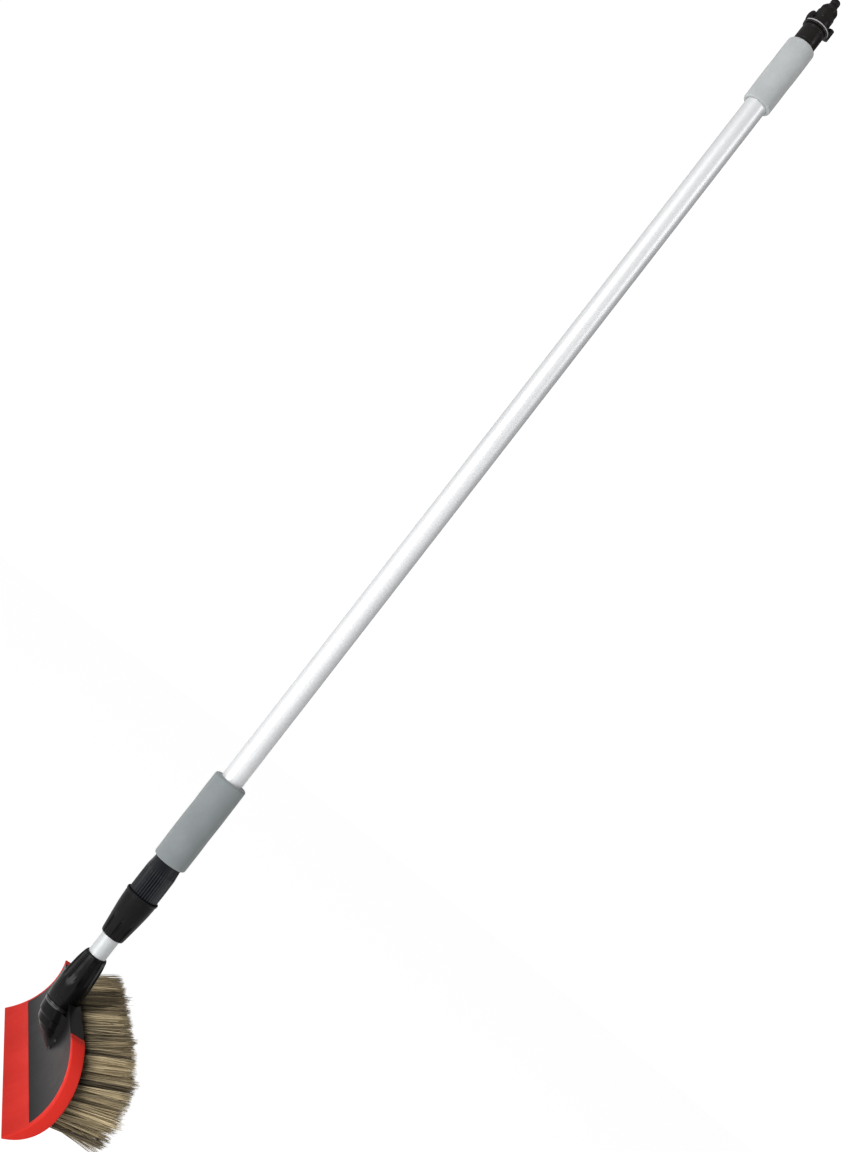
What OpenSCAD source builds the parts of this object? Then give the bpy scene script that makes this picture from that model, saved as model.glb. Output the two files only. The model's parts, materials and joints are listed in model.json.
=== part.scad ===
// Telescopic water-fed wash brush: an aluminium pole in two tubes, foam grips, a twist
// collar that locks the length, a shut-off valve with a hose nipple at the top and an
// arched brush head with a rubber bumper at the bottom.
// Millimetres. Z runs along the pole with the brush head down. The origin is on the pole
// axis, half way along the bare outer tube. The bristles point to -Y.

/* [Pole] */
// Outside diameter of the outer tube
outer_tube_d = 25; // [22:0.5:32]
// Outside diameter of the inner tube
inner_tube_d = 20.6; // [18:0.2:28]
// Wall of both tubes
tube_wall = 1.1; // [0.8:0.1:2]
// Length of outer tube left bare between the two grips
bare_length = 910; // [500:10:1500]

/* [Grips] */
// Length of the lower foam grip
lower_grip_length = 103.5; // [60:0.5:200]
// Diameter of the lower foam grip
lower_grip_d = 38.6; // [30:0.2:45]
// Length of the upper foam grip
upper_grip_length = 82.5; // [60:0.5:200]
// Diameter of the upper foam grip
upper_grip_d = 34; // [30:0.2:45]
// Radius of the rounded ends of the grips
grip_round = 4; // [1:0.5:8]

/* [Twist collar] */
// Visible length of the ribbed sleeve above the collar
sleeve_length = 42.3; // [30:0.1:60]
// Diameter over the ribs of the sleeve
sleeve_d = 33.8; // [30:0.2:40]
// Number of ribs round the sleeve
sleeve_ribs = 36; // [24:2:72]
// Length of the twist collar
collar_length = 51.5; // [35:0.5:70]
// Largest diameter of the twist collar
collar_d = 37.8; // [32:0.2:44]
// Diameter of the collar at its lower end
collar_mouth_d = 27; // [24:0.2:34]
// Number of finger flutes round the collar
collar_flutes = 8; // [6:1:18]

/* [Hose end] */
// Visible length of the end cap
cap_length = 23.2; // [16:0.2:40]
// Diameter of the end cap
cap_d = 26.8; // [26:0.2:34]
// Diameter of the valve ring
valve_ring_d = 30.6; // [26:0.2:40]
// Height of the two finger lobes on the valve ring
lobe_height = 13.8; // [4:0.2:18]
// Diameter of the hexagonal valve nut across its corners
valve_nut_d = 22.6; // [20:0.2:30]
// Outside diameter of the hose nipple
nipple_d = 10.8; // [9:0.1:14]
// Length of nipple standing out of the nut
nipple_length = 10.3; // [8:0.1:30]
// Bore for the water through the nipple
water_bore_d = 6; // [4:0.5:9]

/* [Head nut] */
// Length of the fluted nut that holds the brush head
nut_length = 59; // [40:1:80]
// Diameter of the nut at its mouth
nut_mouth_d = 25; // [23:0.2:32]
// Largest diameter of the nut
nut_d = 34.4; // [30:0.2:42]
// Number of concave flutes round the nut
nut_flutes = 8; // [6:1:12]

/* [Brush head] */
// Width of the brush head at its front lip
head_width = 283; // [200:1:360]
// Radius of the hollow back of the head
back_radius = 72; // [60:0.5:110]
// Depth from the hollow back to the bristle side of the bumper
rim_depth = 14; // [10:0.5:22]
// Thickness of the plastic skin of the shell
shell_wall = 3; // [2:0.2:5]
// Width of the rubber strip along the front lip
front_strip = 26; // [15:0.5:35]
// Width of the rubber bumper along each side
side_band = 5; // [4:0.5:16]
// Longest free length of the bristles
bristle_length = 61; // [40:1:90]
// Number of bristle rows from front to rear
bristle_rows = 5; // [3:1:7]

/* [Hidden] */
$fn = 96;

black = [0.09, 0.09, 0.10];
silver = [0.78, 0.79, 0.80];
red = [0.86, 0.17, 0.14];
foam = [0.50, 0.53, 0.54];
foam_light = [0.66, 0.69, 0.70];
straw = [0.58, 0.50, 0.38];
rubber = [0.13, 0.13, 0.14];
white_plastic = [0.88, 0.88, 0.86];

run_fit = 0.05;
part_gap = 0.3;
seat = 0.02;

// Pole levels, from the bare middle outwards
outer_r = outer_tube_d / 2;
outer_bore_r = outer_r - tube_wall;
inner_r = inner_tube_d / 2;
inner_bore_r = inner_r - tube_wall;
bare_top = bare_length / 2;
bare_bottom = -bare_length / 2;
grip_top = bare_top + upper_grip_length;
grip_bottom = bare_bottom - lower_grip_length;

// Collar levels
sleeve_bottom = grip_bottom - sleeve_length;
collar_bottom = sleeve_bottom - collar_length;
tube_end = sleeve_bottom - 5;
nose_r = 15.2;
nose_bottom = sleeve_bottom - 31;
collet_r = 12.9;
collet_top = tube_end - 1;
collet_bottom = collar_bottom + 6;
collet_taper = 8;

// Head nut and socket levels
nut_top = collar_bottom - 24;
nut_bottom = nut_top - nut_length;
stem_r = 14.2;
stem_top = nut_bottom + 30;
inner_end = stem_top - 12;
ring_height = 4.2;
boss_r = 15.6;
boss_top = nut_bottom - ring_height - 2 * part_gap;
boss_foot = boss_top - 14;
boss_foot_r = 12.2;

// Hose end levels
cap_bottom = grip_top + part_gap;
cap_top = cap_bottom + cap_length;
outer_tube_top = cap_bottom + 6;
ring_bottom = cap_top + part_gap;
ring_top = ring_bottom + 6.4;
nut_seat = ring_top + part_gap;
valve_nut_length = 24.5;
valve_nut_top = nut_seat + valve_nut_length;
nipple_top = valve_nut_top + nipple_length;
nipple_foot = nut_seat + 9;
neck_r = nipple_d / 2 + 0.9;
seat_disc = 3;
port_r = 2.6;
port_offset = 5.2;
pivot_r = 2;

// Brush head: the hollow back is part of a cylinder along X
back_y = 56.3;
back_z = nut_bottom - 33;
front_angle = -46;
strip_angle = front_angle + front_strip / back_radius * 180 / PI;
rear_angle = 35;
rear_z = back_z + back_radius * sin(rear_angle);
rear_wall = 2.4;
tail_round = 70;
tail_turn = 26;
beyond_angle = 60;
plan_z = back_z + back_radius * sin(front_angle);
skin_r = back_radius + shell_wall;
rim_r = back_radius + rim_depth;
gasket_r = skin_r + 1.2;
block_r = rim_r - 0.5;
block_front = strip_angle + 0.4;
block_rear = 25;
block_half = 127;
row_half_max = 117;
notch_r = nut_d / 2 + 1.4;
lip = 1.6;
lip_arc_angle = -12;
jet_x = 60;
gallery_r = 80.5;

// Tube piston at the top of the outer tube while the pole is closed
piston_top = bare_top + 45;
piston_length = 22;

// A closed ring of rectangular section
module ring(outer, inner, low, high) {
  translate([0, 0, low])
    difference() {
      cylinder(r = outer, h = high - low);
      translate([0, 0, -1]) cylinder(r = inner, h = high - low + 2);
    }
}

// Foam grip with rounded ends
module grip(d, bore_r, low, high) {
  r = d / 2;
  translate([0, 0, low])
    rotate_extrude()
      difference() {
        union() {
          translate([bore_r, grip_round]) square([r - bore_r, high - low - 2 * grip_round]);
          translate([bore_r, 0]) square([r - grip_round - bore_r, high - low]);
          for (end = [grip_round, high - low - grip_round])
            translate([r - grip_round, end]) circle(r = grip_round, $fn = 48);
        }
        translate([bore_r - 20, -1]) square([20, high - low + 2]);
      }
}

// Region of the YZ section between two radii and two angles round the hollow's centre
module back_sector(r_in, r_out, a_from, a_to) {
  far = 4 * r_out;
  translate([back_y, back_z])
    intersection() {
      difference() {
        circle(r = r_out, $fn = 180);
        circle(r = r_in, $fn = 180);
      }
      polygon([
        [0, 0],
        [-far * cos(a_from), far * sin(a_from)],
        [-far, far * sin((a_from + a_to) / 2)],
        [-far * cos(a_to), far * sin(a_to)]
      ]);
    }
}

// Sweeps a YZ section across the head
module across(width) {
  rotate([90, 0, 90])
    linear_extrude(height = width, center = true) children();
}

// Half disc that the head fills when it is seen along Y, drawn in from its rim by inset.
// It ends in the flat rear face, and a wider circle narrows it towards that face.
module plan(inset) {
  disc_r = head_width / 2;
  corner = (disc_r - tail_round) * [cos(tail_turn), sin(tail_turn)];
  far = 2 * head_width;
  rotate([90, 0, 0])
    linear_extrude(height = 300, center = true)
      translate([0, plan_z])
        intersection() {
          circle(r = disc_r - inset, $fn = 180);
          union() {
            for (side = [-1, 1]) {
              translate([side * corner[0], corner[1]]) circle(r = tail_round - inset + 0.4, $fn = 180);
              polygon([
                [0, 0],
                [side * 3 * corner[0], 3 * corner[1]],
                [side * 3 * corner[0], -far],
                [0, -far]
              ]);
            }
            translate([-corner[0], 0]) square([2 * corner[0], corner[1] + tail_round]);
          }
          translate([-far, -far]) square([2 * far, far + rear_z - plan_z]);
        }
}

// Room for the head nut and the socket where they pass the rear edge of the head
module nut_notch() {
  translate([0, 0, nut_bottom - part_gap]) cylinder(r = notch_r, h = 60);
  translate([0, 0, boss_top]) cylinder(r = boss_r + 1, h = 10);
  translate([0, 0, boss_foot]) cylinder(r1 = boss_foot_r + seat, r2 = boss_r + seat, h = boss_top - boss_foot);
}

// Direction of the bristles that leave the block at angle a
function lean(a) = 18 + 0.46 * a - 0.004 * a * a;

// Free length of the bristles that leave the block at angle a
function reach(a) = bristle_length - 0.351 * a - 0.00356 * a * a;

// Point on the block at angle a, moved out by d along the bristles
function bristle_point(a, d) = [
  back_y - block_r * cos(a) - d * cos(lean(a)),
  back_z + block_r * sin(a) + d * sin(lean(a))
];

module outer_tube() {
  color(silver) ring(outer_r, outer_bore_r, tube_end, outer_tube_top);
}

module inner_tube() {
  color(silver) ring(inner_r, inner_bore_r, inner_end, piston_top - 4);
}

module upper_grip() {
  color(foam_light) grip(upper_grip_d, outer_r + seat, bare_top, grip_top);
}

module lower_grip() {
  color(foam) grip(lower_grip_d, outer_r + seat, grip_bottom, bare_bottom);
}

// Sleeve fixed on the outer tube, with a plain nose that the collar turns on
module ribbed_sleeve() {
  rib_r = sleeve_d / 2;
  color(black)
    difference() {
      union() {
        translate([0, 0, sleeve_bottom + part_gap])
          linear_extrude(height = sleeve_length - 2 * part_gap)
            difference() {
              circle(r = rib_r);
              for (i = [0 : sleeve_ribs - 1])
                rotate(i * 360 / sleeve_ribs)
                  translate([rib_r + 0.25, 0]) circle(r = 0.8, $fn = 16);
            }
        translate([0, 0, nose_bottom]) cylinder(r = nose_r, h = grip_bottom - nose_bottom - 2);
      }
      translate([0, 0, tube_end]) cylinder(r = outer_r + seat, h = 80);
      translate([0, 0, nose_bottom - 1]) cylinder(r = collet_r + 0.1, h = 40 - 5);
    }
}

// Collar that squeezes the collet when it is turned
module twist_collar() {
  shoulder = collar_length * 0.56;
  color(black)
    translate([0, 0, collar_bottom])
      difference() {
        rotate_extrude()
          polygon([
            [collar_mouth_d / 2 - 1, 0],
            [collar_mouth_d / 2, 1],
            [collar_mouth_d / 2 + 2.2, 10],
            [collar_d / 2 - 0.8, shoulder],
            [collar_d / 2, shoulder + 4],
            [collar_d / 2, collar_length - 1],
            [collar_d / 2 - 1, collar_length],
            [nose_r + run_fit, collar_length],
            [nose_r + run_fit, nose_bottom - collar_bottom - part_gap],
            [collet_r + part_gap, nose_bottom - collar_bottom - part_gap],
            [collet_r + part_gap, collet_bottom - collar_bottom + collet_taper],
            [inner_r + 1.6, collet_bottom - collar_bottom - part_gap],
            [inner_r + 1.6, 0]
          ]);
        for (i = [0 : collar_flutes - 1])
          rotate(i * 360 / collar_flutes)
            translate([collar_mouth_d / 2 + 2.4, 0, -2])
              rotate([0, 8.7, 0]) cylinder(r = 2.6, h = shoulder + 1, $fn = 32);
      }
}

// Slit collet that grips the inner tube
module clamp_collet() {
  color(white_plastic)
    difference() {
      rotate_extrude()
        polygon([
          [inner_r + run_fit, collet_bottom],
          [inner_r + 1.4, collet_bottom],
          [collet_r, collet_bottom + collet_taper + part_gap],
          [collet_r, collet_top],
          [inner_r + run_fit, collet_top]
        ]);
      for (turn = [0, 60, 120])
        rotate(turn)
          translate([-20, -0.8, collet_bottom - 1]) cube([40, 1.6, collet_top - collet_bottom - 9]);
    }
}

// Lip that wipes the inner tube at the mouth of the collar
module wiper_ring() {
  color(rubber) ring(inner_r + 1.55, inner_r + run_fit, collar_bottom + 0.6, collar_bottom + 4);
}

// Plug in the top of the inner tube that slides in the outer tube
module tube_piston() {
  body_r = outer_bore_r - run_fit;
  groove_r = body_r - 1.5;
  low = piston_top - piston_length;
  color(white_plastic)
    difference() {
      translate([0, 0, low]) cylinder(r = body_r, h = piston_length);
      translate([0, 0, low - 1]) cylinder(r = inner_r + seat, h = piston_length - 3 + seat);
      translate([0, 0, piston_top - 10]) cylinder(r = 7, h = 20);
      for (z = [low + 5, low + 13])
        ring(body_r + 1, groove_r + 0.9, z - 1, z + 1);
    }
}

// Seals in the two grooves of the piston
module piston_seal(z) {
  body_r = outer_bore_r - run_fit;
  color(rubber) ring(body_r + 0.02, body_r - 0.58, z - 0.9, z + 0.9);
}

module piston_seal_upper() {
  piston_seal(piston_top - piston_length + 13);
}

module piston_seal_lower() {
  piston_seal(piston_top - piston_length + 5);
}

// Cap that closes the top of the outer tube and carries the valve
module end_cap() {
  r = cap_d / 2;
  color(black)
    difference() {
      translate([0, 0, cap_bottom])
        rotate_extrude()
          polygon([
            [0, 0],
            [r - 0.6, 0],
            [r, 0.6],
            [r, cap_length - 4.6],
            [r - 1.4, cap_length - 4.2],
            [r - 1.4, cap_length - 3],
            [r, cap_length - 2.6],
            [r, cap_length - 0.6],
            [r - 0.6, cap_length],
            [0, cap_length]
          ]);
      translate([0, 0, cap_bottom - 1]) cylinder(r = outer_r + seat, h = 7 + seat);
      translate([0, 0, cap_bottom]) cylinder(r = 8, h = 14);
      translate([0, 0, cap_top - seat_disc]) cylinder(r = 9.5 + seat, h = 5);
      translate([0, 0, cap_top - 8])
        for (side = [-1, 1])
          translate([0, side * port_offset, 0]) cylinder(r = port_r, h = 10);
      translate([0, 0, cap_top - 4 - seat_disc]) cylinder(r = pivot_r + seat, h = 10);
    }
}

// Flat seal between the end cap and the rim of the tube
module end_cap_seal() {
  color(rubber) ring(outer_bore_r - 0.1, 8.2, cap_bottom + 2, cap_bottom + 5.9);
}

// Disc with two water ports, pressed into the face it stands in
module valve_seat(low) {
  color(white_plastic)
    difference() {
      translate([0, 0, low]) cylinder(r = 9.5, h = seat_disc);
      for (side = [-1, 1])
        translate([0, side * port_offset, low - 1]) cylinder(r = port_r, h = seat_disc + 2);
      translate([0, 0, low - 1]) cylinder(r = pivot_r + seat, h = seat_disc + 2);
    }
}

module valve_seat_lower() {
  valve_seat(cap_top - seat_disc + seat);
}

module valve_seat_upper() {
  valve_seat(nut_seat - seat);
}

// Pin on the pole axis that the valve ring turns on
module valve_pivot() {
  color(silver)
    translate([0, 0, cap_top - 4 - seat_disc + seat])
      cylinder(r = pivot_r, h = nut_seat + 6 - (cap_top - 4 - seat_disc), $fn = 48);
}

// Turning plate of the shut-off valve, with a long and a short finger lobe beside the nut
module valve_ring() {
  r = valve_ring_d / 2;
  color(black)
    difference() {
      union() {
        translate([0, 0, ring_bottom])
          rotate_extrude()
            polygon([[0, 0], [r - 0.8, 0], [r, 0.8], [r, 4.6], [r - 2.2, 6.4], [0, 6.4]]);
        for (lobe = [-r, r - 1.8])
          translate([0, lobe, ring_bottom + 0.8]) cylinder(r = 3.6, h = lobe_height, $fn = 48);
      }
      translate([0, 0, ring_bottom + 6.4]) cylinder(r = valve_nut_d / 2 + part_gap, h = lobe_height);
      for (side = [-1, 1])
        translate([side * port_offset, 0, ring_bottom - 1]) cylinder(r = port_r, h = 10);
      translate([0, 0, ring_bottom - 1]) cylinder(r = pivot_r + run_fit, h = 10);
      ring(r + 6, r - 0.7, ring_bottom + 1.9, ring_bottom + 3.1);
    }
}

// Light ring let into the edge of the valve ring
module valve_ring_trim() {
  r = valve_ring_d / 2;
  color(silver) ring(r + 0.15, r - 0.7 + seat, ring_bottom + 1.92, ring_bottom + 3.08);
}

// Nut that closes the valve and holds the nipple
module valve_nut() {
  color(black)
    difference() {
      union() {
        translate([0, 0, nut_seat]) cylinder(r = valve_nut_d / 2, h = 6);
        translate([0, 0, nut_seat + 6 - seat])
          intersection() {
            cylinder(r = valve_nut_d / 2, h = valve_nut_length - 6 + seat, $fn = 6);
            rotate_extrude()
              polygon([
                [0, 0],
                [valve_nut_d / 2 - 0.4, 0],
                [valve_nut_d / 2 - 0.4, valve_nut_length - 9.5],
                [valve_nut_d / 2 - 3.6, valve_nut_length - 6 + seat],
                [0, valve_nut_length - 6 + seat]
              ]);
          }
      }
      translate([0, 0, nut_seat - 1]) cylinder(r = 9.5 + seat, h = seat_disc + 1);
      translate([0, 0, nut_seat - 1]) cylinder(r = pivot_r + seat, h = 7 + seat);
      for (side = [-1, 1])
        translate([0, side * port_offset, nut_seat]) cylinder(r = port_r, h = 11);
      translate([0, 0, nipple_foot]) cylinder(r = 8.4, h = 8);
      translate([0, 0, nipple_foot]) cylinder(r = neck_r + seat, h = 30);
    }
}

// Nipple that the hose connector pushes on to
module hose_nipple() {
  r = nipple_d / 2;
  color(black)
    difference() {
      union() {
        translate([0, 0, nipple_foot + 2]) cylinder(r = 8.2, h = 5.8);
        translate([0, 0, nipple_foot + 2])
          rotate_extrude()
            polygon([
              [0, 0],
              [neck_r, 0],
              [neck_r, valve_nut_top - nipple_foot - 2],
              [r, valve_nut_top - nipple_foot - 2],
              [r, nipple_top - nipple_foot - 3.5],
              [r - 1.5, nipple_top - nipple_foot - 2],
              [0, nipple_top - nipple_foot - 2]
            ]);
      }
      translate([0, 0, nipple_foot]) cylinder(r = water_bore_d / 2, h = 60);
    }
}

// Flat seal under the foot of the nipple
module nipple_seal() {
  color(rubber) ring(8.2, 5.2, nipple_foot + 0.1, nipple_foot + 1.95);
}

// Fluted nut that draws the brush head on to the inner tube
module head_nut() {
  mouth_r = nut_mouth_d / 2;
  r = nut_d / 2;
  color(black)
    translate([0, 0, nut_bottom])
      difference() {
        rotate_extrude()
          polygon([
            [r - 1.2, 0],
            [r - 0.3, 4],
            [r, 11],
            [r, 18],
            [r - 0.5, 24],
            [mouth_r + 2, nut_length - 12],
            [mouth_r, nut_length - 1],
            [mouth_r - 1, nut_length],
            [inner_r + run_fit, nut_length],
            [inner_r + run_fit, nut_length - 5],
            [inner_r + 1.9, nut_length - 13],
            [inner_r + 1.9, stem_top - nut_bottom + part_gap],
            [stem_r + run_fit, stem_top - nut_bottom + part_gap],
            [stem_r + run_fit, 0]
          ]);
        for (i = [0 : nut_flutes - 1])
          rotate(i * 360 / nut_flutes)
            translate([r + 3.9, 0, 21])
              rotate([0, -7, 0]) cylinder(r = 5.2, h = 34, $fn = 48);
      }
}

// Slit collet between the head nut and the end of the inner tube
module head_collet() {
  low = stem_top + part_gap + 0.2;
  high = nut_top - 13;
  color(white_plastic)
    difference() {
      ring(inner_r + 1.7, inner_r + seat, low, high);
      for (turn = [0, 90])
        rotate(turn)
          translate([-20, -0.7, low + 4]) cube([40, 1.4, 40]);
    }
}

// Seal under the end of the inner tube
module socket_seal() {
  color(rubber) ring(inner_r - 0.1, 6.5, inner_end - 2.3, inner_end - 0.3);
}

// Thrust ring between the head nut and the socket
module socket_ring() {
  color(black)
    translate([0, 0, boss_top + part_gap])
      difference() {
        rotate_extrude()
          polygon([
            [stem_r + seat, 0],
            [boss_r, 0],
            [boss_r + 0.6, 0.6],
            [boss_r + 0.6, ring_height - 0.8],
            [boss_r, ring_height],
            [stem_r + seat, ring_height]
          ]);
      }
}

// Socket moulding: a stem for the pole and a boss that lies on the hollow back
module head_socket() {
  water_z = boss_foot - 6;
  color(black)
    difference() {
      union() {
        translate([0, 0, boss_top - 5]) cylinder(r = stem_r, h = stem_top - boss_top + 5);
        translate([0, 0, boss_foot])
          cylinder(r1 = boss_foot_r, r2 = boss_r, h = boss_top - boss_foot);
        intersection() {
          union() {
            translate([0, 0, boss_foot]) sphere(r = boss_foot_r);
            translate([0, 0, boss_foot - 2])
              rotate([-60, 0, 0])
                mirror([0, 0, 1]) cylinder(r1 = boss_foot_r, r2 = 8.5, h = 30);
          }
          across(400)
            translate([back_y, back_z]) circle(r = back_radius - seat, $fn = 180);
        }
      }
      translate([0, 0, inner_end]) cylinder(r = inner_r + run_fit, h = 60);
      translate([0, 0, inner_end - 2.6]) cylinder(r = inner_r, h = 3);
      translate([0, 0, water_z]) cylinder(r = 4, h = 60);
      translate([0, 0, water_z]) rotate([90, 0, 0]) cylinder(r = 4, h = 60);
    }
}

// Thin black skin with a flat wall across its rear, between the ends of the bumper
module head_shell() {
  color(black)
    difference() {
      union() {
        intersection() {
          across(400) back_sector(back_radius, skin_r, strip_angle, beyond_angle);
          plan(side_band);
        }
        intersection() {
          across(400) back_sector(back_radius, rim_r, 0, beyond_angle);
          plan(side_band);
          translate([-200, -200, rear_z - rear_wall]) cube([400, 400, 20]);
        }
      }
      nut_notch();
      translate([0, 0, boss_foot - 6]) rotate([90, 0, 0]) cylinder(r = 4, h = 60);
    }
}

// Rubber bumper: a wide lip along the front and a band along each side
module rubber_bumper() {
  // The outer face runs out to the thin lip on a smaller arc inside the rim's arc
  reach_in = (rim_r * rim_r - pow(back_radius + lip, 2))
    / (2 * (rim_r - (back_radius + lip) * cos(lip_arc_angle - front_angle)));
  color(red)
    difference() {
      intersection() {
        union() {
          across(400)
            intersection() {
              back_sector(back_radius, rim_r, front_angle, lip_arc_angle);
              translate([back_y - reach_in * cos(lip_arc_angle), back_z + reach_in * sin(lip_arc_angle)])
                circle(r = rim_r - reach_in, $fn = 180);
            }
          across(400) back_sector(back_radius, rim_r, lip_arc_angle, beyond_angle);
        }
        plan(0);
      }
      intersection() {
        across(400) back_sector(back_radius - 5, rim_r + 5, strip_angle - 0.3, 80);
        plan(side_band - 0.1);
      }
    }
}

// Sheet seal between the shell and the bristle block
module block_gasket() {
  color(rubber)
    difference() {
      intersection() {
        across(400) back_sector(skin_r + 0.02, gasket_r, block_front, block_rear);
        plan(side_band + 2);
      }
      nut_notch();
      translate([0, 0, boss_foot - 6]) rotate([90, 0, 0]) cylinder(r = 4, h = 60);
    }
}

// Curved block that the bristles stand in, with a water gallery across it
module bristle_block() {
  color(black)
    difference() {
      intersection() {
        across(2 * block_half) back_sector(gasket_r + 0.02, block_r, block_front, block_rear);
        plan(side_band + 0.4);
      }
      nut_notch();
      translate([0, back_y - gallery_r, back_z])
        rotate([0, 90, 0]) cylinder(r = 2.5, h = 2 * jet_x + 8, center = true);
      translate([0, 0, back_z]) rotate([90, 0, 0]) cylinder(r = 4, h = gallery_r - back_y);
      for (side = [-1, 1])
        translate([side * jet_x, back_y - gallery_r, back_z])
          rotate([90, 0, 0]) cylinder(r = 3 + seat, h = 20);
    }
}

// Half width of the head at a level above the straight side of its outline
function rim_half(level) =
  level < head_width / 2 * sin(tail_turn)
    ? sqrt(pow(head_width / 2, 2) - pow(level, 2))
    : (head_width / 2 - tail_round) * cos(tail_turn)
      + sqrt(pow(tail_round, 2) - pow(level - (head_width / 2 - tail_round) * sin(tail_turn), 2));

// One row of bristles across the head, from angle a_from to a_to on the block
module bristle_row(index) {
  step = (block_rear - 1 - block_front) / bristle_rows;
  a_from = block_front + 0.6 + (index - 1) * step;
  a_to = a_from + step - 0.5;
  a_mid = (a_from + a_to) / 2;
  // Half width of the row, which stays inside the side band at the row's rear edge
  level = back_z + block_r * sin(a_to) - plan_z;
  half = min(row_half_max, rim_half(level) - side_band - 1);
  color(straw)
    difference() {
      across(2 * half)
        polygon([
          bristle_point(a_from, 0.1),
          bristle_point(a_mid, 0.15),
          bristle_point(a_to, 0.1),
          bristle_point(a_to, reach(a_to)),
          bristle_point(a_mid, reach(a_mid)),
          bristle_point(a_from, reach(a_from))
        ]);
      for (side = [-1, 1])
        translate([side * jet_x, 0, back_z])
          rotate([90, 0, 0]) cylinder(r = 5, h = 200);
    }
}

module bristle_row_1() {
  bristle_row(1);
}

module bristle_row_2() {
  bristle_row(2);
}

module bristle_row_3() {
  bristle_row(3);
}

module bristle_row_4() {
  bristle_row(4);
}

module bristle_row_5() {
  bristle_row(5);
}

// Nozzle that sprays out through the bristles
module water_jet(side) {
  color(white_plastic)
    translate([side * jet_x, back_y - gallery_r - 2.6, back_z])
      rotate([90, 0, 0])
        difference() {
          union() {
            cylinder(r = 3, h = 8, $fn = 48);
            translate([0, 0, 8]) cylinder(r1 = 3, r2 = 1.6, h = 3, $fn = 48);
          }
          translate([0, 0, -1]) cylinder(r = 0.9, h = 20, $fn = 32);
        }
}

module water_jet_left() {
  water_jet(-1);
}

module water_jet_right() {
  water_jet(1);
}

outer_tube();
inner_tube();
upper_grip();
lower_grip();
ribbed_sleeve();
twist_collar();
clamp_collet();
wiper_ring();
tube_piston();
piston_seal_upper();
piston_seal_lower();
end_cap();
end_cap_seal();
valve_pivot();
valve_seat_lower();
valve_seat_upper();
valve_ring();
valve_ring_trim();
valve_nut();
hose_nipple();
nipple_seal();
head_nut();
head_collet();
socket_seal();
socket_ring();
head_socket();
head_shell();
rubber_bumper();
block_gasket();
bristle_block();
bristle_row_1();
bristle_row_2();
bristle_row_3();
bristle_row_4();
bristle_row_5();
water_jet_left();
water_jet_right();
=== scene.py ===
import json
import math
import random

import bmesh
import bpy
from mathutils import Matrix, Vector


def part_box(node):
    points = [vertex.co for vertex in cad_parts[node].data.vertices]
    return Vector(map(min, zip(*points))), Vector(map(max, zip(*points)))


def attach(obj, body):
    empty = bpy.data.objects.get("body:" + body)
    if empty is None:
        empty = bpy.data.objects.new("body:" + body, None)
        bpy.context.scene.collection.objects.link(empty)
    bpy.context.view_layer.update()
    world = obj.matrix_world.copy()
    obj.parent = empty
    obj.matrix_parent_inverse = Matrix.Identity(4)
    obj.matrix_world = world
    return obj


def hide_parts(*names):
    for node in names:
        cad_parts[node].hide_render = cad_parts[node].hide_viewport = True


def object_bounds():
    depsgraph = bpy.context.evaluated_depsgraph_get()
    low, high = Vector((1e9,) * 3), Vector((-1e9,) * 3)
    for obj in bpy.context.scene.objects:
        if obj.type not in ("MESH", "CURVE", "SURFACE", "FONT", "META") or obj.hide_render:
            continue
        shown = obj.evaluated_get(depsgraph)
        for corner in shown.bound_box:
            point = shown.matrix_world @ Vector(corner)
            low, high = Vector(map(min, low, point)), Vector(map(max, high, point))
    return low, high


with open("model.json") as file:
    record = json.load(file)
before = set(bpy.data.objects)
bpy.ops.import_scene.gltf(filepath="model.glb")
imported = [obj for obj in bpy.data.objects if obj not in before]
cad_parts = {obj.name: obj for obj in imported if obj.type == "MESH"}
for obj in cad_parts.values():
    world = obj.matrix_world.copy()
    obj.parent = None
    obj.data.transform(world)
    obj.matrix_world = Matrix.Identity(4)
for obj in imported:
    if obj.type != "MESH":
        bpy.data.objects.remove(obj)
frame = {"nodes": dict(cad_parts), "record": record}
nodes = frame["nodes"]
cad_low, cad_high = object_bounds()
MM = 0.001
ANY_ANGLE = 6.28


def node_z(name):
    """Lowest and highest level of a CAD node, in millimetres."""
    low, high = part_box(name)
    return low[2] / MM, high[2] / MM


def node_r(name):
    """Radius of a turned CAD node, in millimetres."""
    low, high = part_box(name)
    return (high[0] - low[0]) / 2 / MM


# ---------------------------------------------------------------- materials

TUBE_CLOUDS = (9, 9, 3)
PLASTIC_GRAIN, PLASTIC_GRAIN_DEPTH = 1400.0, 0.00006
RUBBER_GRAIN, RUBBER_GRAIN_DEPTH = 1100.0, 0.00008
FOAM_CELLS, FOAM_CELL_DEPTH = 1500.0, 0.0004
FOAM_LUMPS, FOAM_LUMP_DEPTH = 160.0, 0.0006


def shader(m):
    return m.node_tree.nodes["Principled BSDF"]


def material(name, colour, rough, metal=0.0, **sockets):
    """A new material. Other sockets are given by name, with _ for each space."""
    m = bpy.data.materials.new(name)
    m.use_nodes = True
    b = shader(m)
    b.inputs["Base Color"].default_value = (*colour, 1)
    b.inputs["Roughness"].default_value = rough
    b.inputs["Metallic"].default_value = metal
    for key, value in sockets.items():
        b.inputs[key.replace("_", " ")].default_value = value
    return m


def add(m, kind, **settings):
    n = m.node_tree.nodes.new(kind)
    for key, value in settings.items():
        setattr(n, key, value)
    return n


def link(m, a, out, b, into):
    m.node_tree.links.new(a.outputs[out], b.inputs[into])


def coordinates(m, stretch=(1, 1, 1)):
    """Object coordinates, scaled by stretch."""
    tex = add(m, "ShaderNodeTexCoord")
    mapping = add(m, "ShaderNodeMapping")
    mapping.inputs["Scale"].default_value = stretch
    link(m, tex, "Object", mapping, "Vector")
    return mapping


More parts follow.
